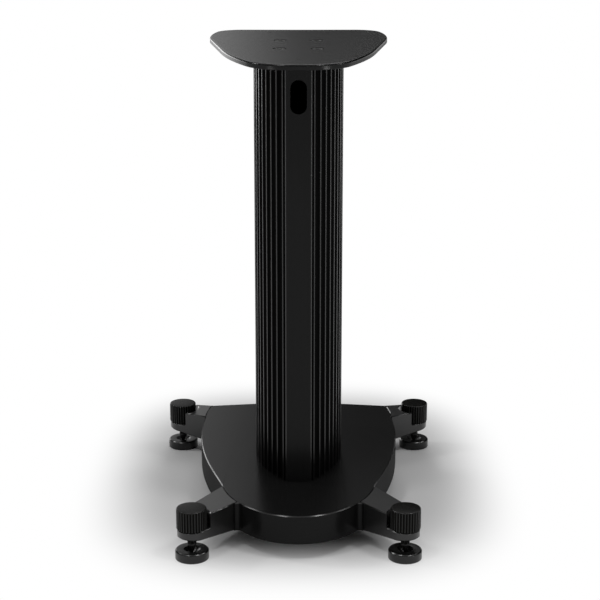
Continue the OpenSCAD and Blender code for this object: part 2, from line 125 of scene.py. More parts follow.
def rounded_outline(half, count):
    """A closed outline of straight sides joined by arcs, anticlockwise from above. The corners
    of one half are given as (across, along, radius) from back to front and mirrored; an arc's
    centre lies on its corner's bisector, at the radius divided by the sine of half the corner's
    angle."""
    right = np.array(half, dtype=float)
    c = np.vstack([right, right[-2:0:-1] * (-1, 1, 1)])
    p, r = c[:, :2], c[:, 2:]
    u, v = unit(np.roll(p, 1, axis=0) - p), unit(np.roll(p, -1, axis=0) - p)
    halved = np.arccos((u * v).sum(axis=1, keepdims=True)) / 2
    centre = p + unit(u + v) * r / np.sin(halved)
    start = p + u * r / np.tan(halved) - centre
    end = p + v * r / np.tan(halved) - centre
    begin = np.arctan2(start[:, 1:], start[:, :1])
    sweep = (np.arctan2(end[:, 1:], end[:, :1]) - begin + math.pi) % (2 * math.pi) - math.pi
    a = begin + sweep * np.linspace(0, 1, count + 1)
    arcs = centre[:, None, :] + r[:, None, :] * np.stack([np.cos(a), np.sin(a)], axis=-1)
    return arcs.reshape(-1, 2)[::-1]


def fitted(outline, lo, hi):
    """The outline stretched to a box, the middle of its width staying in the middle."""
    low, high = outline.min(axis=0), outline.max(axis=0)
    return (outline - low) / (high - low) * (np.array(hi[:2]) - lo[:2]) + lo[:2]


def slab(name, outline, profile, holes):
    """A flat piece with a shaped edge and shaped holes. Each profile entry (inset, height) from
    the bottom up gives one ring: the outline moved inwards by the inset along its own normal.
    Each hole is (centre, rings), its rings (radius, height) from the top down; the flat faces
    between the outline and the holes are filled."""
    n = len(outline)
    along = unit(np.roll(outline, -1, axis=0) - np.roll(outline, 1, axis=0))
    inward = np.stack([-along[:, 1], along[:, 0]], axis=-1)
    rings = [np.column_stack([outline + inward * d, np.full(n, z)]) for d, z in profile]
    points = [np.vstack(rings)]
    faces = grid_faces(len(rings), n)
    count = HOLE_SIDES
    turn = -np.arange(count) * 2 * math.pi / count
    caps = {True: [np.arange(n) + (len(rings) - 1) * n], False: [np.arange(n)]}
    base = len(rings) * n
    for centre, steps in holes:
        hole = [np.column_stack([centre[0] + r * np.cos(turn), centre[1] + r * np.sin(turn),
                                 np.full(count, z)]) for r, z in reversed(steps)]
        points.append(np.vstack(hole))
        faces += (np.array(grid_faces(len(hole), count)) + base).tolist()
        caps[False].append(base + np.arange(count))
        caps[True].append(base + (len(hole) - 1) * count + np.arange(count))
        base += len(hole) * count
    points = np.vstack(points)
    for top, loops in caps.items():
        index = np.concatenate(loops)
        edges = [[Vector(v) for v in points[loop].tolist()] for loop in loops]
        tri = np.array(tessellate_polygon(edges))
        a, b, c = (points[index[tri[:, k]]] for k in range(3))
        up = np.cross(b - a, c - a)[:, 2] > 0
        tri[up != top] = tri[up != top][:, ::-1]
        faces += index[tri].tolist()
    return mesh_object(name, points, faces)


def rounded_profile(corners, radius, steps=4):
    """A profile whose inner corners are rounded: each corner is cut back by the radius and
    bridged with a parabola between its two neighbours."""
    p = np.array(corners, dtype=float)
    most = 0.45  # share of a side that one corner may take
    out = [p[0]]
    t = np.linspace(0, 1, steps + 1)[:, None]
    for a, b, c in zip(p[:-2], p[1:-1], p[2:]):
        d = min(radius, most * np.linalg.norm(a - b), most * np.linalg.norm(c - b))
        s = b + (a - b) / np.linalg.norm(a - b) * d
        e = b + (c - b) / np.linalg.norm(c - b) * d
        out.extend((1 - t) ** 2 * s + 2 * t * (1 - t) * b + t ** 2 * e)
    out.append(p[-1])
    return [tuple(v) for v in out]


def clean_copy(node, name):
    """A copy of a CAD node with its corners merged and its flat faces joined."""
    source = NODES[node]
    mesh = source.data.copy()
    mesh.name = name
    mesh.materials.clear()
    bm = bmesh.new()
    bm.from_mesh(mesh)
    bmesh.ops.remove_doubles(bm, verts=bm.verts, dist=MERGE)
    bmesh.ops.dissolve_limit(bm, angle_limit=FLAT_ANGLE, verts=bm.verts, edges=bm.edges)
    bm.to_mesh(mesh)
    bm.free()
    obj = bpy.data.objects.new(name, mesh)
    bpy.context.scene.collection.objects.link(obj)
    return obj


def soften(obj, angle, bevel=0.0, segments=2, weighted=False, clamp=True):
    """Smooth shading up to an angle in degrees, after a narrow bevel on the edges that are
    sharper than it. A bevel of one segment stays a flat chamfer; a finer one is shaded round."""
    shaded_round = bevel and segments > 1
    mesh = obj.data
    mesh.polygons.foreach_set("use_smooth", [True] * len(mesh.polygons))
    if bevel:
        m = obj.modifiers.new("broken edges", "BEVEL")
        m.width = bevel
        m.segments = segments
        m.limit_method = "ANGLE"
        m.angle_limit = math.radians(angle)
        m.use_clamp_overlap = clamp
        m.mark_sharp = not shaded_round
        m.miter_outer = "MITER_ARC"
    bm = bmesh.new()
    bm.from_mesh(mesh)
    limit = math.radians(180 if shaded_round else angle)
    for e in bm.edges:
        e.smooth = e.calc_face_angle(0.0) < limit
    bm.to_mesh(mesh)
    bm.free()
    if shaded_round or weighted:
        w = obj.modifiers.new("flat faces stay flat", "WEIGHTED_NORMAL")
        w.keep_sharp = True
        w.weight = 100


def dress(node, material, slot, body, angle=32.0, bevel=0.0, segments=2, clamp=True):
    """A cleaned, softened copy that stands for a CAD node, in its finish and on its body."""
    piece = clean_copy(node, node + "_finished")
    soften(piece, angle, bevel, segments, clamp=clamp)
    finish(piece, material, slot, body, node)


def finish(piece, material, slot, body, *nodes, extra=()):
    """Gives a piece its materials and its body, and hides the CAD nodes it stands for; the extra
    materials are for faces marked by number. The slot is not used."""
    mark = np.zeros(len(piece.data.polygons), dtype=np.int32)
    piece.data.polygons.foreach_get("material_index", mark)
    piece.data.materials.clear()
    for m in (material,) + tuple(extra):
        piece.data.materials.append(m)
    piece.data.polygons.foreach_set("material_index", mark if extra else mark * 0)
    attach(piece, body)
    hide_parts(*nodes)


# ---------------------------------------------------------------- shader groups

def group(name, inputs, outputs):
    """An empty shader group with its sockets: inputs are (name, default), outputs are names. A
    default of three numbers makes a vector socket, one number a plain value."""
    g = bpy.data.node_groups.new(name, "ShaderNodeTree")
    for label, value in inputs:
        kind = "NodeSocketVector" if isinstance(value, tuple) else "NodeSocketFloat"
        socket = g.interface.new_socket(name=label, in_out="INPUT", socket_type=kind)
        socket.default_value = value
    for label in outputs:
        g.interface.new_socket(name=label, in_out="OUTPUT", socket_type="NodeSocketFloat")
    return g, g.nodes.new("NodeGroupInput"), g.nodes.new("NodeGroupOutput")


def add(tree, kind, **values):
    """A new shader node of that kind with its settings."""
    n = tree.nodes.new(kind)
    for key, value in values.items():
        setattr(n, key, value)
    return n


def math_node(tree, operation, a, b=None):
    """The result of a math operation on one or two numbers or sockets."""
    n = add(tree, "ShaderNodeMath", operation=operation)
    for i, v in enumerate((a, b)):
        if v is None:
            continue
        if isinstance(v, (int, float)):
            n.inputs[i].default_value = v
        else:
            tree.links.new(v, n.inputs[i])
    return n.outputs[0]


def powder_group():
    """Fine cured-paint texture: a small noise for the grain and a broad one for slow changes of
    sheen."""
    inputs = (("Grain Size", 900.0), ("Sheen", 0.35), ("Sheen Change", 0.06))
    g, inp, out = group("cured paint", inputs, ("Tone", "Roughness", "Height"))
    place = add(g, "ShaderNodeTexCoord")
    fine = add(g, "ShaderNodeTexNoise")
    broad = add(g, "ShaderNodeTexNoise")
    fine.inputs["Detail"].default_value = 3.0
    broad.inputs["Scale"].default_value = 14.0
    broad.inputs["Detail"].default_value = 4.0
    middle, grain_share, tone_range = 0.5, 0.5, 0.8
    for n in (fine, broad):
        g.links.new(place.outputs["Object"], n.inputs["Vector"])
    g.links.new(inp.outputs["Grain Size"], fine.inputs["Scale"])
    slow = math_node(g, "SUBTRACT", broad.outputs["Fac"], middle)
    quick = math_node(g, "SUBTRACT", fine.outputs["Fac"], middle)
    mixed = math_node(g, "ADD", slow, math_node(g, "MULTIPLY", quick, grain_share))
    change = math_node(g, "MULTIPLY", mixed, inp.outputs["Sheen Change"])
    rough = math_node(g, "ADD", inp.outputs["Sheen"], change)
    tone = math_node(g, "ADD", math_node(g, "MULTIPLY", mixed, tone_range), middle)
    g.links.new(tone, out.inputs["Tone"])
    g.links.new(rough, out.inputs["Roughness"])
    g.links.new(fine.outputs["Fac"], out.inputs["Height"])
    return g


def drawn_group():
    """Lines left by drawing or turning metal: a noise that is stretched along one direction of
    the given place."""
    inputs = (("Place", (0.0, 0.0, 0.0)), ("Sheen", 0.3), ("Sheen Change", 0.1))
    g, inp, out = group("drawn lines", inputs, ("Tone", "Roughness", "Height"))
    lines = add(g, "ShaderNodeTexNoise")
    lines.inputs["Scale"].default_value = 1.0
    lines.inputs["Detail"].default_value = 5.0
    lines.inputs["Roughness"].default_value = 0.65
    g.links.new(inp.outputs["Place"], lines.inputs["Vector"])
    off = math_node(g, "SUBTRACT", lines.outputs["Fac"], 0.5)
    change = math_node(g, "MULTIPLY", off, inp.outputs["Sheen Change"])
    rough = math_node(g, "ADD", inp.outputs["Sheen"], change)
    g.links.new(lines.outputs["Fac"], out.inputs["Tone"])
    g.links.new(rough, out.inputs["Roughness"])
    g.links.new(lines.outputs["Fac"], out.inputs["Height"])
    return g


def painted_sheen_group():
    """Painted sheen by height: a coat weight for the sides, for the rim between the two heights,
    and for the top; it paints the sides duller and a highlight on the rim."""
    inputs = (("Low", 0.0), ("High", 0.0), ("Side", 0.1), ("Rim", 1.0), ("Top", 0.5))
    g, inp, out = group("painted sheen by height", inputs, ("Weight",))
    place = add(g, "ShaderNodeTexCoord")
    split = add(g, "ShaderNodeSeparateXYZ")
    g.links.new(place.outputs["Object"], split.inputs[0])
    weight = inp.outputs["Side"]
    for level, below, above in (("Low", "Side", "Rim"), ("High", "Rim", "Top")):
        over = math_node(g, "GREATER_THAN", split.outputs["Z"], inp.outputs[level])
        change = math_node(g, "SUBTRACT", inp.outputs[above], inp.outputs[below])
        weight = math_node(g, "ADD", weight, math_node(g, "MULTIPLY", over, change))
    g.links.new(weight, out.inputs["Weight"])
    return g


# The "rim" group paints sheen by height: duller sides and a painted highlight on the rim
GROUP_BUILDERS = {"powder": powder_group, "drawn": drawn_group, "rim": painted_sheen_group}
GROUPS = {}


def shared(name):
    """The shared group of that name, built the first time it is asked for."""
    if name not in GROUPS:
        GROUPS[name] = GROUP_BUILDERS[name]()
    return GROUPS[name]


# Roughness of the polish, strengths of the bumps, and depths of grain and lines in metres
COAT_ROUGHNESS = 0.22
PAINT_BUMP, METAL_BUMP, COLUMN_BUMP = 0.25, 0.3, 0.12
PAINT_GRAIN_DEPTH, LINE_DEPTH = 0.00002, 0.00001


def shade(colour, factor):
    """The colour made darker or lighter by a factor."""
    return tuple(v * factor for v in colour)


def group_node(t, name, **values):
    """A node that holds the shared group of that name; the values go to its inputs."""
    n = add(t, "ShaderNodeGroup")
    n.node_tree = shared(name)
    for key, value in values.items():
        n.inputs[key.replace("_", " ").title()].default_value = value
    return n


def ramp(t, value, start, end, low=0.0, high=1.0, kind="SMOOTHSTEP"):
    """Runs smoothly from low to high while the value goes from start to end."""
    n = add(t, "ShaderNodeMapRange", interpolation_type=kind)
    ends = (("From Min", start), ("From Max", end), ("To Min", low), ("To Max", high))
    for name, number in ends:
        n.inputs[name].default_value = number
    t.links.new(value, n.inputs["Value"])
    return n.outputs["Result"]


def surface(name, dark, light, metallic=0.0, specular=0.5):
    """A material with its shader, whose colour runs from dark to light with the mask that is
    linked later."""
    m = bpy.data.materials.new(name)
    m.use_nodes = True
    t = m.node_tree
    t.nodes.clear()
    out = add(t, "ShaderNodeOutputMaterial")
    bsdf = add(t, "ShaderNodeBsdfPrincipled")
    t.links.new(bsdf.outputs["BSDF"], out.inputs["Surface"])
    bsdf.inputs["Metallic"].default_value = metallic
    bsdf.inputs["Specular IOR Level"].default_value = specular
    mix = add(t, "ShaderNodeMix", data_type="RGBA")
    mix.inputs["A"].default_value = (*dark, 1)
    mix.inputs["B"].default_value = (*light, 1)
    t.links.new(mix.outputs["Result"], bsdf.inputs["Base Color"])
    m.diffuse_color = (*light, 1)
    return m, t, bsdf, mix


def height_to_normal(t, height, bsdf, depth, strength):
    """Turns a height mask into a bump of that depth in metres."""
    bump = add(t, "ShaderNodeBump")
    bump.inputs["Strength"].default_value = strength
    bump.inputs["Distance"].default_value = depth
    t.links.new(height, bump.inputs["Height"])
    t.links.new(bump.outputs["Normal"], bsdf.inputs["Normal"])


def link_texture(t, g, bsdf, mix, depth, strength):
    """Links a shared texture's tone to the colour, and its roughness and height to the shader."""
    t.links.new(g.outputs["Tone"], mix.inputs["Factor"])
    t.links.new(g.outputs["Roughness"], bsdf.inputs["Roughness"])
    height_to_normal(t, g.outputs["Height"], bsdf, depth, strength)


def paint_sheen_by_height(t, bsdf, heights, weights, more=None):
    """Paints sheen by height with the coat: the sides, the rim between two heights and the top
    take their weights, which give duller sides and a painted highlight on the rim; more is a mask
    that adds to them."""
    low, high = heights
    side, rim, top = weights
    g = group_node(t, "rim", low=low, high=high, side=side, rim=rim, top=top)
    weight = g.outputs["Weight"]
    if more is not None:
        weight = math_node(t, "ADD", more, weight)
    # The painted sheen and highlight go to the coat
    t.links.new(weight, bsdf.inputs["Coat Weight"])
    bsdf.inputs["Coat Roughness"].default_value = COAT_ROUGHNESS


def painted(name, dark, light, sheen, change, grain=900.0, depth=PAINT_GRAIN_DEPTH,
            specular=0.5, heights=None, weights=None):
    """Satin paint or rubber with a fine grain; a painted highlight on the rim between two
    heights, with duller sides, may be added.
    """
    m, t, bsdf, mix = surface(name, dark, light, specular=specular)
    # Optional painted sheen by height: duller sides and a highlight on the rim
    if heights is not None:
        paint_sheen_by_height(t, bsdf, heights, weights)
    g = group_node(t, "powder", grain_size=grain, sheen=sheen, sheen_change=change)
    link_texture(t, g, bsdf, mix, depth, PAINT_BUMP)
    return m


def drawn_lines(t, place, stretch, sheen, change):
    """The shared drawn lines at a place, which is stretched by a scale for each direction."""
    mapping = add(t, "ShaderNodeMapping")
    mapping.inputs["Scale"].default_value = stretch
    t.links.new(place, mapping.inputs["Vector"])
    g = group_node(t, "drawn", sheen=sheen, sheen_change=change)
    t.links.new(mapping.outputs["Vector"], g.inputs["Place"])
    return g


def lined(name, dark, light, sheen, change, stretch, place="Object", metallic=0.0,
          specular=0.5, heights=None, weights=None):
    """Metal with drawn or turned lines; a painted highlight on the rim between two heights, with
    duller sides, may be added.
    """
    m, t, bsdf, mix = surface(name, dark, light, metallic=metallic, specular=specular)
    # Optional painted sheen by height: duller sides and a highlight on the rim
    if heights is not None:
        paint_sheen_by_height(t, bsdf, heights, weights)
    coord = add(t, "ShaderNodeTexCoord")
    g = drawn_lines(t, coord.outputs[place], stretch, sheen, change)
    link_texture(t, g, bsdf, mix, LINE_DEPTH, METAL_BUMP)
    return m


# ---------------------------------------------------------------- finishes

# Lines turned round a piece, in its UV map: round it, and across the turn
TURNED_LINES = (6, 12000, 1)
# What lies less than this under a piece's top counts as its top
SKIN = 0.0001
# How much the paint's roughness changes from place to place
PAINT_CHANGE = 0.05


def top_of(node):
    """The upper height of a node's box."""
    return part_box(node)[1][2]


def plate_paint():
    """Satin black, with painted sheen: a highlight on the rounded edge and the top, duller on the
    sides.
    """
    p, top = bpy.context.scene.stand_finishes, top_of("top_plate")
    edge = bpy.context.scene.stand_sizes.plate_edge
    # Coat weights for the sides, the rounded edge and the top paint the sheen and the edge's
    # highlight
    return painted("plate paint", shade(p.paint, 0.8), shade(p.paint, 1.2), p.paint_sheen,
                   PAINT_CHANGE, specular=0.0, heights=(top - edge, top - SKIN),
                   weights=(0.3, 0.75, 0.9))


def plinth_paint():
    """Satin black, with painted sheen: a bright highlight on the bevel, a glossy top and duller
    sides.
    """
    p, top, bevel = bpy.context.scene.stand_finishes, top_of("base_plinth"), 0.0012
    # Coat weights for the sides, the bevel and the top paint the sheen and the bevel's highlight
    return painted("plinth paint", shade(p.paint, 0.8), shade(p.paint, 1.2), p.paint_sheen,
                   PAINT_CHANGE, specular=0.0, heights=(top - bevel - SKIN, top - SKIN),
                   weights=(0.2, 1.0, 0.85))


def arm_paint():
    """Satin black of a slightly lighter kind, glossy, with painted sheen that leaves the sides
    duller than the rim and the top.
    """
    p, top, rim = bpy.context.scene.stand_finishes, top_of("arm_front_left"), 0.001
    # Coat weights for the sides, the rim and the top paint the sheen and the rim's highlight
    return painted("arm paint", shade(p.paint, 1.1), shade(p.paint, 1.5), p.paint_sheen,
                   PAINT_CHANGE, specular=0.2, heights=(top - rim, top - SKIN / 2),
                   weights=(0.6, 1.0, 1.0))


def column_anodised():
    """Black anodised extrusion: satin on the strips and crests and duller down in the flutes,
    with painted shade that darkens the flutes' colour, painted sheen on the strips and crests,
    and a painted highlight, brightest on the strips' edges. A point's depth under the crests is
    the flank's radius less its distance from the flank's centre, which lies across the column's
    middle."""
    # Half a strip's width, and the painted highlight line inside and outside the strip's edge
    strip, band, outside = 0.01655, 0.0006, 0.0004
    # Depths at which a crest turns dull with painted shade, and at which it is fully satin, and
    # both roughnesses
    dull_depth, satin_depth = 0.0006, 0.0002
    dull, dull_change, satin_gain = 0.62, 0.14, 0.24
    # Coat weights that paint sheen on the strips, a highlight on the crests and a brighter one on
    # the strips' edges
    satin_coat, crest_coat, edge_coat = 0.16, 0.4, 0.44
    # Tone added to the drawn lines' tone and its scale outside the flutes, so the flutes are
    # painted darker; and the lines' stretch along the column
    tone_start, tone_range, along_column = 0.6, 0.9, (900, 900, 5)
    metal = bpy.context.scene.stand_finishes.anodised
    m, t, bsdf, mix = surface("column anodised", shade(metal, 0.6), shade(metal, 3.0),
                              specular=0.03)
    lo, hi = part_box("column")
    half, middle_y = (hi[0] - lo[0]) / 2, (lo[1] + hi[1]) / 2
    rise, deep = half - strip, (hi[1] - lo[1]) / 2
    radius = (rise ** 2 + deep ** 2) / (2 * rise)
    place = add(t, "ShaderNodeTexCoord").outputs["Object"]
    split = add(t, "ShaderNodeSeparateXYZ")
    t.links.new(place, split.inputs[0])
    side = math_node(t, "ABSOLUTE", split.outputs["X"])
    across = math_node(t, "ADD", side, radius - half)
    along = math_node(t, "SUBTRACT", split.outputs["Y"], middle_y)
    squares = math_node(t, "ADD", math_node(t, "POWER", across, 2.0),
                        math_node(t, "MULTIPLY", along, along))
    depth = math_node(t, "SUBTRACT", radius, math_node(t, "SQRT", squares))
    flat = math_node(t, "GREATER_THAN", math_node(t, "ABSOLUTE", along), deep - band)
    # 1 on the strips and the crests and 0 down in the flutes: it sets the roughness, and it
    # paints shade into the flutes' colour and sheen onto the rest
    satin = math_node(t, "MAXIMUM", flat, ramp(t, depth, dull_depth, satin_depth))
    beyond = math_node(t, "GREATER_THAN", side, strip - band)
    before = math_node(t, "LESS_THAN", side, strip + outside)
    # Mask of the painted highlight on the crests and the strips' edges
    bright = math_node(t, "MULTIPLY", beyond, satin)
    g = drawn_lines(t, place, along_column, dull, dull_change)
    # Painted shade: the colour is darker down in the flutes
    tone = math_node(t, "MULTIPLY", math_node(t, "ADD", g.outputs["Tone"], tone_start),
                     math_node(t, "MULTIPLY", satin, tone_range))
    t.links.new(tone, mix.inputs["Factor"])
    t.links.new(math_node(t, "SUBTRACT", g.outputs["Roughness"],
                          math_node(t, "MULTIPLY", satin, satin_gain)), bsdf.inputs["Roughness"])
    # Painted sheen by the coat on the strips and crests, and a painted highlight on the strips'
    # edges
    coat = math_node(t, "ADD", math_node(t, "MULTIPLY", satin, satin_coat),
                     math_node(t, "MULTIPLY", bright, crest_coat))
    edge = math_node(t, "MULTIPLY", math_node(t, "MULTIPLY", before, bright), edge_coat)
    t.links.new(math_node(t, "ADD", coat, edge), bsdf.inputs["Coat Weight"])
    bsdf.inputs["Coat Roughness"].default_value = COAT_ROUGHNESS
    height_to_normal(t, g.outputs["Height"], bsdf, LINE_DEPTH, COLUMN_BUMP)
    return m


def knob_anodised():
    """Black anodised, slightly brown, with a painted highlight on the crests between the flutes
    and on the top's rim, and none down in the flutes. A crest is where the cosine of the flutes'
    phase is low."""
    knob, flutes = bpy.context.scene.stand_finishes.knob, bpy.context.scene.stand_sizes.flutes
    top = top_of("knob_front_left")
    rim, round_knob = (top - 0.0011, top - 0.00015), (8, 9000, 1)
    # Coat weight of the painted highlight on the flutes' crests, and the cosines at which it
    # starts and is full
    crest_coat, crest_start, crest_full = 0.55, -0.2, -0.8
    m, t, bsdf, mix = surface("knob anodised", shade(knob, 0.8), shade(knob, 1.2), specular=0.03)
    coord = add(t, "ShaderNodeTexCoord")
    g = drawn_lines(t, coord.outputs["UV"], round_knob, 0.27, 0.1)
    link_texture(t, g, bsdf, mix, LINE_DEPTH, METAL_BUMP)
    around = add(t, "ShaderNodeSeparateXYZ")
    t.links.new(coord.outputs["UV"], around.inputs[0])
    place = add(t, "ShaderNodeSeparateXYZ")
    t.links.new(coord.outputs["Object"], place.inputs[0])
    phase = math_node(t, "MULTIPLY", around.outputs["X"], 2 * math.pi * flutes)
    crest = ramp(t, math_node(t, "COSINE", phase), crest_start, crest_full)
    below = math_node(t, "LESS_THAN", place.outputs["Z"], rim[0])
    # Painted highlight on the crests, below the top's rim
    ridge = math_node(t, "MULTIPLY", math_node(t, "MULTIPLY", crest, below), crest_coat)
    # Painted highlight on the top's rim, none on the sides
    paint_sheen_by_height(t, bsdf, rim, (0.0, 1.0, 0.3), more=ridge)
    return m


def disc_anodised():
    """Black anodised with turned lines and a painted highlight on the upper edge."""
    metal, top = bpy.context.scene.stand_finishes.anodised, top_of("disc_front_left")
    edge = 0.0015
    # Coat weights for the sides, the upper edge and the top paint the edge's highlight
    return lined("disc anodised", shade(metal, 0.7), shade(metal, 1.2), 0.3, 0.1, TURNED_LINES,
                 "UV", specular=0.3, heights=(top - edge - SKIN, top - SKIN),
                 weights=(0.3, 0.6, 0.3))


def bare_cup():
    """Bare turned metal in the disc's cup."""
    return lined("bare cup", (0.06, 0.06, 0.06), (0.11, 0.11, 0.11), 0.36, 0.12, TURNED_LINES,
                 "UV", metallic=1.0)


def blackened_steel():
    """Steel of the spikes and screws."""
    return lined("blackened steel", (0.02, 0.02, 0.02), (0.05, 0.05, 0.05), 0.34, 0.16,
                 (300, 300, 300), metallic=0.6)


def machined_brass():
    """Brass of the threaded bushes."""
    return lined("machined brass", (0.42, 0.3, 0.12), (0.6, 0.45, 0.2), 0.3, 0.12,
                 (200, 200, 4000), metallic=1.0)


def pad_rubber():
    """Matt rubber of the pads."""
    return painted("pad rubber", (0.02, 0.02, 0.02), (0.035, 0.035, 0.035), 0.75, 0.1,
                   grain=1500.0, depth=0.00005, specular=0.3)


MATERIALS = {}


def made(finish_function):
    """The finish that the function builds, built the first time it is asked for."""
    if finish_function not in MATERIALS:
        MATERIALS[finish_function] = finish_function()
    return MATERIALS[finish_function]


# ---------------------------------------------------------------- sizes and colours

class StandFinishes(bpy.types.PropertyGroup):
    """Colours and sheens of the stand."""
    paint: FloatVectorProperty(
        name="Paint", description="Colour of the plate, plinth and arms", subtype="COLOR",
        size=3, min=0, max=1, default=(0.0095, 0.0095, 0.0095))
    anodised: FloatVectorProperty(
        name="Column", description="Colour of the column and the discs", subtype="COLOR",
        size=3, min=0, max=1, default=(0.004, 0.004, 0.004))
    knob: FloatVectorProperty(
        name="Knobs", description="Colour of the hand knobs", subtype="COLOR",
        size=3, min=0, max=1, default=(0.005, 0.005, 0.0042))
    paint_sheen: FloatProperty(
        name="Paint roughness", description="Roughness of the satin paint", subtype="FACTOR",
        min=0.05, max=1, default=0.34)


class StandSizes(bpy.types.PropertyGroup):
    """Fine sizes that the CAD solids leave plain."""
    broken_edge: FloatProperty(
        name="Broken edge", description="Width of the bevel on the arms' edges",
        unit="LENGTH", min=0, max=0.002, default=0.0012, precision=5)
    plate_edge: FloatProperty(
        name="Plate edge", description="Radius of the plate's rounded upper edge",
        unit="LENGTH", min=0.0005, max=0.003, default=0.0024, precision=5)
    crest_edge: FloatProperty(
        name="Crest edge", description="Rounding of the column's crests",
        unit="LENGTH", min=0, max=0.0007, default=0.0005, precision=5)
    cone_height: FloatProperty(
        name="Spike cone", description="Height of the spikes' cones",
        unit="LENGTH", min=0.008, max=0.019, default=0.013, precision=5)
    flutes: IntProperty(
        name="Knob flutes", description="Flutes round a knob", min=12, max=60, default=32)
    flute_depth: FloatProperty(
        name="Flute depth", description="Depth of a knob's flutes",
        unit="LENGTH", min=0, max=0.002, default=0.0008, precision=5)
    thread_pitch: FloatProperty(
        name="Thread pitch", description="Pitch of the spikes' thread",
        unit="LENGTH", min=0.0005, max=0.003, default=0.00175, precision=5)
    thread_depth: FloatProperty(
        name="Thread depth", description="Depth of the spikes' thread",
        unit="LENGTH", min=0, max=0.0015, default=0.0009, precision=5)


class StandStudio(bpy.types.PropertyGroup):
    """Camera and floor."""
    camera_distance: FloatProperty(
        name="Distance", description="Camera in front of the middle", unit="LENGTH",
        default=2.1217, precision=4)
    camera_height: FloatProperty(
        name="Height", description="Camera above the floor", unit="LENGTH",
        default=0.8693, precision=4)
    camera_pitch: FloatProperty(
        name="Pitch", description="Camera tilt down", subtype="ANGLE",
        default=math.radians(15.36))
    lens: FloatProperty(
        name="Lens", description="Focal length in millimetres", default=97.13)
    shift: FloatProperty(
        name="Shift", description="Sideways shift as a share of the width", default=0.0024,
        precision=4)
    floor: FloatVectorProperty(
        name="Floor", description="Colour of the floor", subtype="COLOR",
        size=3, min=0, max=1, default=(0.8, 0.8, 0.8))


# ---------------------------------------------------------------- operators

class PlateOperator(bpy.types.Operator):
    """Finish the top plate and its countersunk screws"""
    bl_idname = "stand.plate"
    bl_label = "Top plate"

    def execute(self, context):
        edge = context.scene.stand_sizes.plate_edge
        lo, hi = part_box("top_plate")
        # Corners of the right half, back to front: across, along, radius as shares of the depth
        corners = [(0, 0.996, 3.8), (0.2738, 1.0016, 0.0918), (0.311, 0.797, 0.628),
                   (0.2216, 0.254, 1.36), (0.1188, -0.0015, 0.156), (0, 0, 0.499)]
        outline = fitted(rounded_outline(corners, ARC_POINTS), lo, hi)
        # Lower edge in two steps, and the narrow land inside the upper edge
        under, under_edge, land = 0.0006, 0.0002, 0.0004
        turn = np.linspace(0, math.pi / 2, EDGE_POINTS)
        profile = [(under, lo[2]), (under_edge, lo[2] + under_edge), (0, lo[2] + under)]
        profile += list(zip(edge * (1 - np.cos(turn)), hi[2] - edge * (1 - np.sin(turn))))
        profile += [(edge + land, hi[2])]
        # Radius of a screw's head and of its sink, and the broken edge of every hole
        head, sink, rim = 0.008, 0.009, 0.0003
        head_lo, head_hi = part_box("plate_screws")
        screws = [(x, y) for x in (head_lo[0] + head, head_hi[0] - head)
                  for y in (head_lo[1] + head, head_hi[1] - head)]
        holes = [(c, [(sink + rim, hi[2]), (sink, hi[2] - rim),
                      (sink / 2, hi[2] - sink / 2 - rim), (sink / 2, lo[2])]) for c in screws]
        # Radius of the loudspeaker's screw holes, and where they lie
        small, from_front, from_back, off_middle = 0.0021, 0.052, 0.041, 0.0405
        speaker_holes = ((0, lo[1] + from_front), (-off_middle, hi[1] - from_back),
                         (off_middle, hi[1] - from_back))
        holes += [(c, [(small + rim, hi[2]), (small, hi[2] - rim), (small, lo[2])])
                  for c in speaker_holes]
        piece = slab("top_plate_finished", outline, profile, holes)
        soften(piece, angle=40.0, weighted=True)
        finish(piece, made(plate_paint), "plate_paint", "stand", "top_plate")
        dress("plate_screws", made(blackened_steel), "screw_steel", "stand", angle=25.0,
              bevel=SCREW_BEVEL)
        return {"FINISHED"}


class ColumnOperator(bpy.types.Operator):
    """Finish the fluted column"""
    bl_idname = "stand.column"
    bl_label = "Column"

    def execute(self, context):
        sizes = context.scene.stand_sizes
        dress("column", made(column_anodised), "column_anodised", "stand", angle=25.0,
              bevel=sizes.crest_edge, segments=3)
        return {"FINISHED"}


class PlinthOperator(bpy.types.Operator):
    """Finish the plinth"""
    bl_idname = "stand.plinth"
    bl_label = "Plinth"

    def execute(self, context):
        dress("base_plinth", made(plinth_paint), "base_paint", "stand", angle=28.0)
        return {"FINISHED"}


class ArmsOperator(bpy.types.Operator):
    """Finish the arms with broken edges"""
    bl_idname = "stand.arms"
    bl_label = "Arms"

    def execute(self, context):
        sizes = context.scene.stand_sizes
        for node in ARMS:
            dress(node, made(arm_paint), "arm_paint", "stand", angle=28.0,
                  bevel=sizes.broken_edge, segments=1, clamp=False)
        return {"FINISHED"}


class FastenersOperator(bpy.types.Operator):
    """Finish the screws under the plinth and the bushes in the arms"""
    bl_idname = "stand.fasteners"
    bl_label = "Screws and bushes"

    def execute(self, context):
        for node in ("column_bolts", "arm_bolts"):
            dress(node, made(blackened_steel), "screw_steel", "stand", angle=25.0,
                  bevel=SCREW_BEVEL)
        dress("foot_bushes", made(machined_brass), "bush_brass", "stand", angle=25.0)
        return {"FINISHED"}


def middle(node):
    """The middle of a node's box from above, and the box's lower and upper heights."""
    lo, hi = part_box(node)
    return ((lo[0] + hi[0]) / 2, (lo[1] + hi[1]) / 2), lo[2], hi[2]


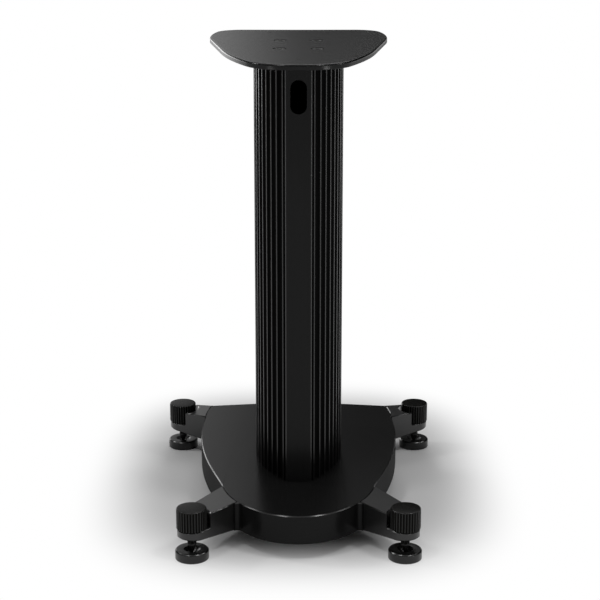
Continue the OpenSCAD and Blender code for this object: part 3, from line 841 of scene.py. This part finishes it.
class KnobsOperator(bpy.types.Operator):
    """Build the fluted hand knobs"""
    bl_idname = "stand.knobs"
    bl_label = "Knobs"

    def execute(self, context):
        sizes = context.scene.stand_sizes
        count, depth = sizes.flutes, sizes.flute_depth
        cutter = 2 * depth
        r, fluted_wall, points_per_flute = 0.0195, 0.0012, 16
        # Chamfers below and above, the middle of the top, and the rounding of all corners
        lower, upper, flat_middle, rounding = 0.0006, 0.0009, 0.003, 0.0005

        def fluted(angle, height, radius):
            """A round cutter on each flute's middle: the cut is the cutter's circle where it
            dips under the radius."""
            step = 2 * math.pi / count
            across = ((angle + step / 2) % step - step / 2) * radius
            dip = np.sqrt(np.maximum(cutter ** 2 - across ** 2, 0)) - (cutter - depth)
            outer = radius > radius.max() - fluted_wall
            cut = np.minimum(radius, radius.max() - np.maximum(dip, 0))
            return np.where(outer, cut, radius)

        for foot in FEET:
            node = "knob_" + foot
            centre, low, high = middle(node)
            profile = rounded_profile([
                (0, low), (r - lower, low), (r, low + lower), (r, high - upper),
                (r - upper, high), (flat_middle, high), (0, high)], rounding)
            piece = turned(node + "_finished", profile, centre, count * points_per_flute, fluted)
            soften(piece, angle=40.0)
            finish(piece, made(knob_anodised), "knob_anodised", "screw_" + foot, node)
        return {"FINISHED"}


class SpikesOperator(bpy.types.Operator):
    """Build the threaded spikes"""
    bl_idname = "stand.spikes"
    bl_label = "Spikes"

    def execute(self, context):
        sizes = context.scene.stand_sizes
        pitch, depth, cone_h = sizes.thread_pitch, sizes.thread_depth, sizes.cone_height
        # Radii of the shank, the tip, its flat and the upper end, and the tip's height
        r, tip, tip_flat, end_r, tip_h = 0.006, 0.0008, 0.0006, 0.0052, 0.0002
        # Lengths without thread at both ends, and the length over which it fades
        plain_below, plain_above, runout = 0.0012, 0.002, 0.001
        cone_rings, shank_rings, sides = 12, 190, 56
        for foot in FEET:
            node = "spike_" + foot
            centre, low, high = middle(node)
            start, end = low + cone_h + plain_below, high - plain_above

            def threaded(angle, height, radius):
                """A helical ridge: the distance to the nearest turn of the helix lowers the
                radius in proportion."""
                turn = height / pitch - angle / (2 * math.pi)
                away = np.abs(turn - np.round(turn)) * 2
                fade = (np.clip((height - start) / runout, 0, 1)
                        * np.clip((end - height) / runout, 0, 1))
                return radius - depth * away * fade

            cone = [(0, low), (tip_flat, low), (tip, low + tip_h)]
            cone += [(tip + (r - tip) * t, low + tip_h + (cone_h - tip_h) * t)
                     for t in np.linspace(0.05, 1, cone_rings)]
            shank = [(r, z) for z in np.linspace(start, end, shank_rings)]
            profile = cone + shank + [(end_r, high), (0, high)]
            piece = turned(node + "_finished", profile, centre, sides, threaded)
            soften(piece, angle=50.0)
            finish(piece, made(blackened_steel), "spike_steel", "screw_" + foot, node)
        return {"FINISHED"}


class DiscsOperator(bpy.types.Operator):
    """Build the turned floor discs and their pads"""
    bl_idname = "stand.discs"
    bl_label = "Floor discs"

    def mark_cup(self, piece, centre, cup, high):
        """Number 1 goes to the faces whose middle lies inside the cup's radius and above the
        pad's seat."""
        faces = piece.data.polygons
        place = np.empty(len(faces) * 3)
        faces.foreach_get("center", place)
        place = place.reshape(-1, 3)
        inside = np.hypot(place[:, 0] - centre[0], place[:, 1] - centre[1]) < cup
        above = place[:, 2] > high / 3
        faces.foreach_set("material_index", (inside & above).astype(np.int32))

    def execute(self, context):
        r, lower, upper, rounding, sides = 0.02175, 0.0008, 0.0015, 0.0003, 144
        # The conical cup: its radius and broken edge above, its floor's radius and height
        cup, lip, cup_floor, cup_floor_z = 0.01015, 0.0003, 0.0008, 0.0061
        # The pad's seat: its radius inside and at the edge, and its depth
        seat, seat_edge, seat_depth = 0.0181, 0.0182, 0.0012
        for foot in FEET:
            node = "disc_" + foot
            centre, low, high = middle(node)
            profile = rounded_profile([
                (0, low + seat_depth), (seat, low + seat_depth), (seat_edge, low),
                (r - lower, low), (r, low + lower), (r, high - upper), (r - upper, high),
                (cup + lip, high), (cup, high - lip), (cup_floor, cup_floor_z),
                (0, cup_floor_z)], rounding)
            piece = turned(node + "_finished", profile, centre, sides)
            soften(piece, angle=40.0)
            self.mark_cup(piece, centre, cup, high)
            finish(piece, made(disc_anodised), "disc_anodised", "disc_" + foot, node,
                   extra=(made(bare_cup),))
            dress("pad_" + foot, made(pad_rubber), "pad_rubber", "disc_" + foot, angle=30.0,
                  bevel=PAD_BEVEL)
        return {"FINISHED"}


# Each lamp: name, place, height on the stand's axis that it faces, width, height, watts
LAMPS = (
    ("high light right", (1.25, -0.9, 2.9), 0.3, 0.4, 0.4, 13),
    ("high light left", (-1.0, -1.05, 2.9), 0.3, 0.35, 0.35, 10),
    ("high light behind", (0.2, 1.8, 1.9), 0.2, 1.0, 1.0, 6),
    ("side light left", (-1.64, 0.4, 1.64), 0.3, 0.3, 0.3, 7),
    ("side light right", (1.6, 0.3, 1.7), 0.3, 0.3, 0.3, 3.5),
    ("low light back left", (-1.1, 1.9, 0.5), 0.3, 1.0, 0.6, 5),
    ("low light front right", (1.69, -1.41, 0.2), 0.2, 0.4, 0.3, 5),
    ("low light front left", (-1.69, -1.41, 0.2), 0.2, 0.4, 0.3, 2),
)


def area_light(name, place, aim_z, width, height, power):
    """A rectangular lamp that faces the stand's axis at a height."""
    light = bpy.data.lights.new(name, "AREA")
    light.energy = power
    light.shape = "RECTANGLE"
    light.size = width
    light.size_y = height
    obj = bpy.data.objects.new(name, light)
    bpy.context.scene.collection.objects.link(obj)
    d = unit(np.array([0.0, 0.0, aim_z]) - np.array(place))
    obj.location = place
    obj.rotation_euler = (math.acos(-d[2]), 0.0, math.atan2(d[1], d[0]) - math.pi / 2)


class StageOperator(bpy.types.Operator):
    """Set the floor, the soft lights and the camera"""
    bl_idname = "stand.stage"
    bl_label = "Stage"

    def execute(self, context):
        scene = context.scene
        scene.view_settings.view_transform = "Standard"
        self.floor(scene.stand_studio)
        self.world(scene)
        for lamp in LAMPS:
            area_light(*lamp)
        self.camera(scene)
        return {"FINISHED"}

    def camera(self, scene):
        """The camera at the photo's angle."""
        studio = scene.stand_studio
        camera = bpy.data.cameras.new("photo view")
        camera.lens = studio.lens
        camera.sensor_width = 36.0
        camera.shift_x = studio.shift
        camera.clip_end = 100.0
        view = bpy.data.objects.new("photo view", camera)
        scene.collection.objects.link(view)
        view.location = (0.0, -studio.camera_distance, studio.camera_height)
        view.rotation_euler = (math.pi / 2 - studio.camera_pitch, 0.0, 0.0)
        scene.camera = view

    def floor(self, studio):
        """A pale floor that keeps the shadow near the stand and turns plain white further out.
        The shadow's patch is a rounded box: the sum of the cubes of both distances."""
        side, power = 40.0, 3.0
        across, deep, back = 0.277, 0.372, 0.097
        fade_start, fade_end = 0.6, 1.2
        corner = np.array([[-side, -side, 0], [side, -side, 0], [side, side, 0],
                           [-side, side, 0]], dtype=float)
        obj = mesh_object("floor", corner, [[0, 1, 2, 3]])
        m = bpy.data.materials.new("floor")
        m.use_nodes = True
        t = m.node_tree
        t.nodes.clear()
        out = add(t, "ShaderNodeOutputMaterial")
        diffuse = add(t, "ShaderNodeBsdfDiffuse")
        diffuse.inputs["Color"].default_value = (*studio.floor, 1)
        white = add(t, "ShaderNodeEmission")
        white.inputs["Strength"].default_value = 1.0
        place = add(t, "ShaderNodeTexCoord")
        oval = add(t, "ShaderNodeMapping")
        oval.inputs["Scale"].default_value = (1 / across, 1 / deep, 0)
        oval.inputs["Location"].default_value = (0, -back / deep, 0)
        t.links.new(place.outputs["Object"], oval.inputs["Vector"])
        split = add(t, "ShaderNodeSeparateXYZ")
        t.links.new(oval.outputs["Vector"], split.inputs[0])
        cubes = [math_node(t, "POWER", math_node(t, "ABSOLUTE", split.outputs[k]), power)
                 for k in ("X", "Y")]
        reach = math_node(t, "POWER", math_node(t, "ADD", *cubes), 1 / power)
        far = ramp(t, reach, fade_start, fade_end, kind="SMOOTHERSTEP")
        path = add(t, "ShaderNodeLightPath")
        mirrored = math_node(t, "MAXIMUM", path.outputs["Is Glossy Ray"],
                             path.outputs["Is Transmission Ray"])
        seen = math_node(t, "MAXIMUM", path.outputs["Is Camera Ray"], mirrored)
        mix = add(t, "ShaderNodeMixShader")
        t.links.new(math_node(t, "MULTIPLY", far, seen), mix.inputs["Fac"])
        t.links.new(diffuse.outputs["BSDF"], mix.inputs[1])
        t.links.new(white.outputs["Emission"], mix.inputs[2])
        t.links.new(mix.outputs["Shader"], out.inputs["Surface"])
        obj.data.materials.append(m)

    def world(self, scene):
        """A dome that is bright overhead, with a low wash behind the stand that fades from left
        to right."""
        world = bpy.data.worlds.new("soft dome")
        scene.world = world
        world.use_nodes = True
        t = world.node_tree
        t.nodes.clear()
        out = add(t, "ShaderNodeOutputWorld")
        back = add(t, "ShaderNodeBackground")
        t.links.new(back.outputs["Background"], out.inputs["Surface"])
        place = add(t, "ShaderNodeTexCoord")
        split = add(t, "ShaderNodeSeparateXYZ")
        t.links.new(place.outputs["Generated"], split.inputs["Vector"])
        x, y, z = (split.outputs[k] for k in "XYZ")
        # Each ramp follows one part of the direction, from -1 to 1: its start and end, then the
        # strengths there
        above = ramp(t, z, 0.5, 0.85, 0.0, 0.45)
        behind = math_node(t, "MULTIPLY", ramp(t, y, 0.8, 0.93), ramp(t, z, 0.4, 0.6, 1.0, 0.0))
        wash = math_node(t, "ADD", ramp(t, x, -0.10, 0.01, 0.72, 0.01),
                         ramp(t, z, 0.1, 0.25, 0.08, 0.0))
        low = math_node(t, "MULTIPLY", behind, wash)
        t.links.new(math_node(t, "ADD", above, low), back.inputs["Strength"])


class StandPanel(bpy.types.Panel):
    """Lists the pieces of the stand"""
    bl_idname = "VIEW3D_PT_stand"
    bl_label = "Loudspeaker stand"
    bl_space_type = "VIEW_3D"
    bl_region_type = "UI"
    bl_category = "Stand"

    def draw(self, context):
        for name in ("stand_finishes", "stand_sizes", "stand_studio"):
            box = self.layout.box()
            values = getattr(context.scene, name)
            for key in values.__annotations__:
                box.prop(values, key)
        for operator in OPERATORS:
            self.layout.operator(operator.bl_idname)


OPERATORS = (PlateOperator, ColumnOperator, PlinthOperator, ArmsOperator, FastenersOperator,
             KnobsOperator, SpikesOperator, DiscsOperator, StageOperator)
CLASSES = (StandFinishes, StandSizes, StandStudio) + OPERATORS + (StandPanel,)


def register():
    """Adds the classes and the scene's settings."""
    for c in CLASSES:
        bpy.utils.register_class(c)
    bpy.types.Scene.stand_finishes = PointerProperty(type=StandFinishes)
    bpy.types.Scene.stand_sizes = PointerProperty(type=StandSizes)
    bpy.types.Scene.stand_studio = PointerProperty(type=StandStudio)


def unregister():
    """Takes them out again."""
    del bpy.types.Scene.stand_studio
    del bpy.types.Scene.stand_sizes
    del bpy.types.Scene.stand_finishes
    for c in reversed(CLASSES):
        bpy.utils.unregister_class(c)


def main():
    register()
    for operator in OPERATORS:
        group_name, name = operator.bl_idname.split(".")
        getattr(getattr(bpy.ops, group_name), name)()


if __name__ == "__main__":
    main()
